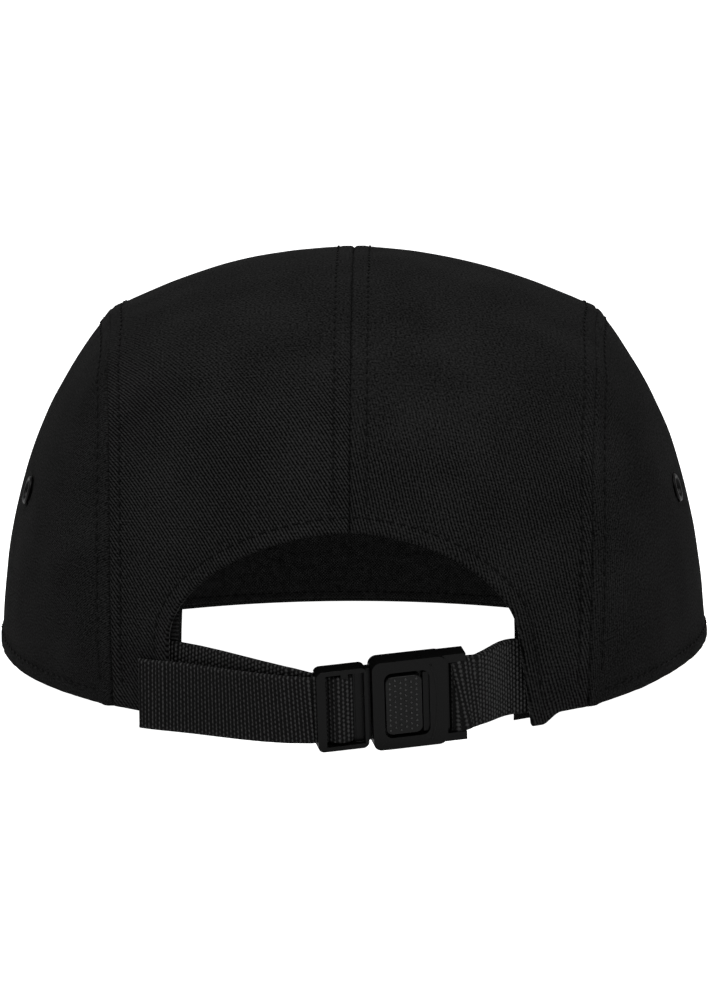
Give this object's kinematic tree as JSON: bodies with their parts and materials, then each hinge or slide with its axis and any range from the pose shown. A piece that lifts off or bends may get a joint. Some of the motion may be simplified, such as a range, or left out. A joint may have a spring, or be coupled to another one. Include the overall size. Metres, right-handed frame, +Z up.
{
  "type": "jockey cap",
  "caption": "Black panelled cotton cap with a short flat brim, arched rear opening, webbing strap and front-release buckle.",
  "frame": {"origin": "bottom centre of the cap's box, on the surface that the brim and the buckle rest on", "axes": "+Z up, brim towards -Y, strap and buckle towards +Y, the wearer's left at +X"},
  "size_m": [0.1896, 0.2718, 0.1175],
  "materials": {
    "twill": "black cotton twill, matte",
    "sweatband_cloth": "black plain-woven cotton, matte",
    "webbing": "black ribbed webbing",
    "plastic": "black moulded plastic, satin",
    "eyelet_metal": "black lacquered metal"
  },
  "bodies": {
    "root": {"front_panel": "twill", "side_panel_left": "twill", "side_panel_right": "twill", "back_panel_left": "twill", "back_panel_right": "twill", "sweatband": "sweatband_cloth", "brim": "twill", "strap_left": "webbing", "strap_right": "webbing", "buckle_adjuster": "plastic", "buckle_housing": "plastic", "buckle_button": "plastic", "eyelet_ring_left": "eyelet_metal", "eyelet_ring_right": "eyelet_metal", "eyelet_mesh_left": "eyelet_metal", "eyelet_mesh_right": "eyelet_metal"}
  },
  "joints": []
}
